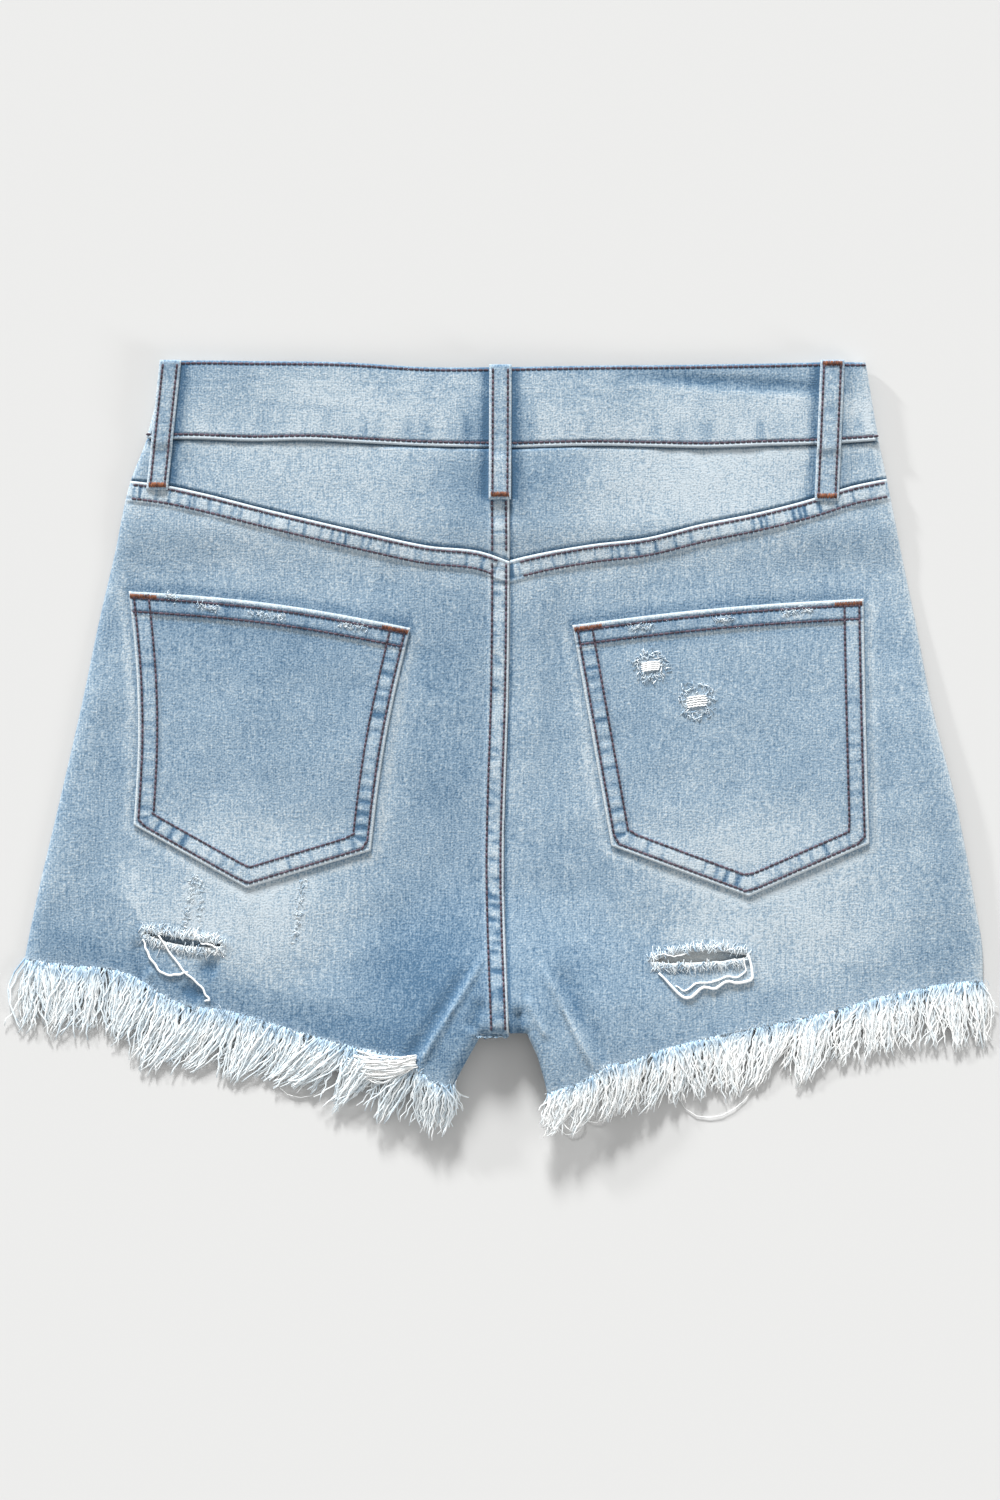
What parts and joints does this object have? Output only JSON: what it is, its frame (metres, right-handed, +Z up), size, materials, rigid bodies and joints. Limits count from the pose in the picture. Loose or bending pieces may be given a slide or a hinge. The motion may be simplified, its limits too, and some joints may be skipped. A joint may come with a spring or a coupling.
{
  "type": "denim shorts",
  "caption": "Washed denim cut-off shorts laid flat with the back side up: waistband with belt loops, pointed yoke, patch pockets, worn slits and frayed hems.",
  "frame": {"origin": "on the surface the shorts rest on, under the middle of their outline", "axes": "+Y towards the waist, +X to the right seen from above, +Z up out of the back side"},
  "size_m": [0.4884, 0.3989, 0.0134],
  "materials": {
    "denim": "stone-washed cotton twill, mid to light blue, matt",
    "denim_pale": "more faded cotton twill, pale blue, matt",
    "denim_pocket": "stone-washed cotton twill, mid blue, matt",
    "cotton": "loose off-white cotton threads with pale blue roots",
    "brass": "aged brass, satin"
  },
  "bodies": {
    "root": {"waistband": "denim_pale", "yoke_left": "denim_pale", "yoke_right": "denim_pale", "back_panel_left": "denim", "back_panel_right": "denim", "front_panel_left": "denim", "front_panel_right": "denim", "pocket_back_left": "denim_pocket", "pocket_back_right": "denim_pocket", "belt_loop_centre": "denim_pale", "belt_loop_left": "denim_pale", "belt_loop_right": "denim_pale", "belt_loop_front_left": "denim_pale", "belt_loop_front_right": "denim_pale", "fringe_back_left": "cotton", "fringe_back_right": "cotton", "fringe_front_left": "cotton", "fringe_front_right": "cotton", "zip_tape": "denim", "zip_slider": "brass", "button": "brass"}
  },
  "joints": []
}
